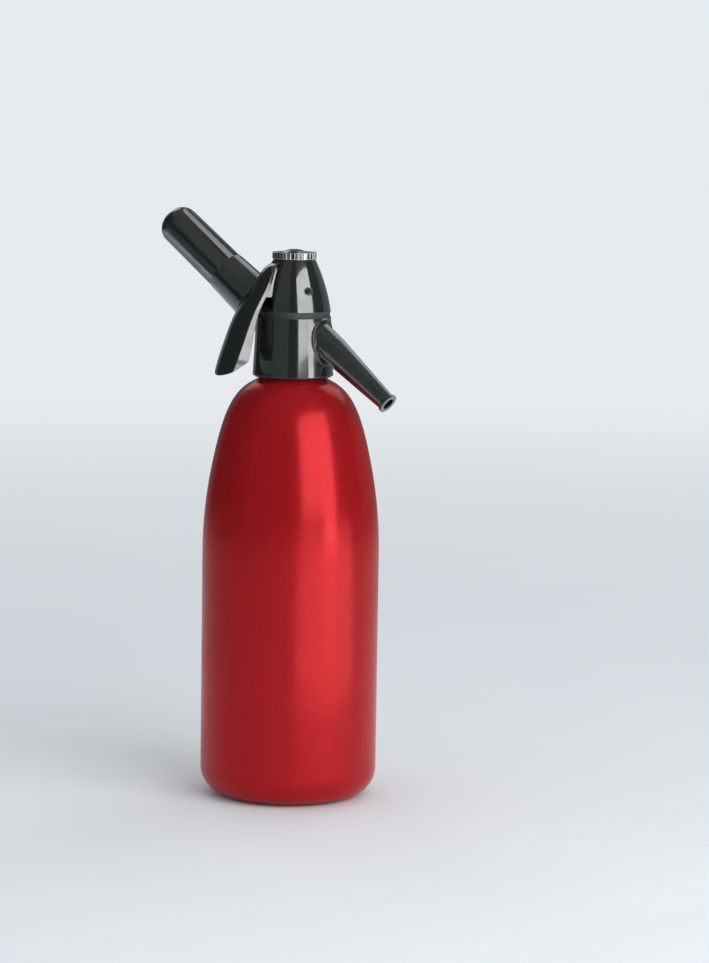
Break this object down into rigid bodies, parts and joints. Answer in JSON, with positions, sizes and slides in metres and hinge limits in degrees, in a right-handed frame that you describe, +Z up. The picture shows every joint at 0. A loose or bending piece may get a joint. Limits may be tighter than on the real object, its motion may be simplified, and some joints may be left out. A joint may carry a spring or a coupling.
{
  "type": "soda siphon",
  "caption": "Refillable soda siphon: tall bottle with a screwed-on head, press lever, sloping spout and screw-in gas charger holder.",
  "frame": {"origin": "on the bottle's axis, at the level that the bottle stands on", "axes": "+Z up along the bottle's axis, +X towards the spout, -X towards the charger holder"},
  "size_m": [0.1482, 0.094, 0.3106],
  "materials": {
    "red_lacquer": "satin red metallic lacquer",
    "black_plastic": "gloss black",
    "chrome_ring": "bright plating",
    "aluminium_insert": "machined",
    "brass_parts": "machined",
    "white_plastic": "moulded",
    "rubber_seals": "moulded",
    "steel_parts": "ground",
    "plated_steel": "zinc plated"
  },
  "bodies": {
    "bottle": {"bottle": "red_lacquer"},
    "gasket": {"neck_gasket": "rubber_seals"},
    "head": {"head_casing": "black_plastic", "neck_insert": "aluminium_insert", "valve_body": "white_plastic", "valve_body_nut": "white_plastic", "riser_tube": "white_plastic", "riser_seal": "rubber_seals", "measuring_tube": "white_plastic", "stem_oring": "rubber_seals", "valve_spring": "steel_parts", "lever_pin": "steel_parts", "spout": "black_plastic", "spout_oring": "rubber_seals", "piercer_body": "brass_parts", "piercing_pin": "steel_parts", "piercer_gasket": "rubber_seals", "check_valve": "rubber_seals"},
    "lever": {"lever": "black_plastic"},
    "plunger": {"valve_plunger": "steel_parts", "plunger_cap": "brass_parts", "valve_seal": "rubber_seals"},
    "charger": {"co2_charger": "plated_steel"},
    "holder": {"charger_holder": "black_plastic", "holder_insert": "brass_parts"},
    "dome": {"dome_cap": "black_plastic"},
    "ring": {"top_ring": "chrome_ring"}
  },
  "joints": [
    {"name": "head_rise", "type": "slide", "parent": "bottle", "child": "gasket", "axis": [0, 0, 1], "range_m": [0, 0.0075]},
    {"name": "head_turn", "type": "hinge", "parent": "gasket", "child": "head", "pos_m": [0, 0, 0.2278], "axis": [0, 0, 1], "range_deg": [0, 900]},
    {"name": "lever_press", "type": "hinge", "parent": "head", "child": "lever", "pos_m": [0, 0, 0.2697], "axis": [0.866, -0.5, 0], "range_deg": [0, 12.5], "stiffness_Nm_per_rad": 0.2, "springref_deg": -34.38},
    {"name": "valve_press", "type": "slide", "parent": "head", "child": "plunger", "axis": [0, 0, -1], "range_m": [0, 0.00109], "deforming": ["valve_spring"]},
    {"name": "holder_travel", "type": "slide", "parent": "head", "child": "charger", "axis": [-0.8028, 0, 0.5962], "range_m": [0, 0.0075]},
    {"name": "holder_turn", "type": "hinge", "parent": "charger", "child": "holder", "pos_m": [-0.04014, 0, 0.27461], "axis": [-0.8028, 0, 0.5962], "range_deg": [0, 1800]},
    {"name": "ring_rise", "type": "slide", "parent": "head", "child": "dome", "axis": [0, 0, 1], "range_m": [0, 0.003]},
    {"name": "ring_turn", "type": "hinge", "parent": "dome", "child": "ring", "pos_m": [0, 0, 0.2858], "axis": [0, 0, 1], "range_deg": [0, 1440]}
  ],
  "couplings": [
    {"joint": "head_turn", "follows": "head_rise", "rad_per_m": 2094.4},
    {"joint": "lever_press", "follows": "valve_press", "rad_per_m": 200},
    {"joint": "holder_turn", "follows": "holder_travel", "rad_per_m": 4188.8},
    {"joint": "ring_turn", "follows": "ring_rise", "rad_per_m": 8377.6}
  ]
}
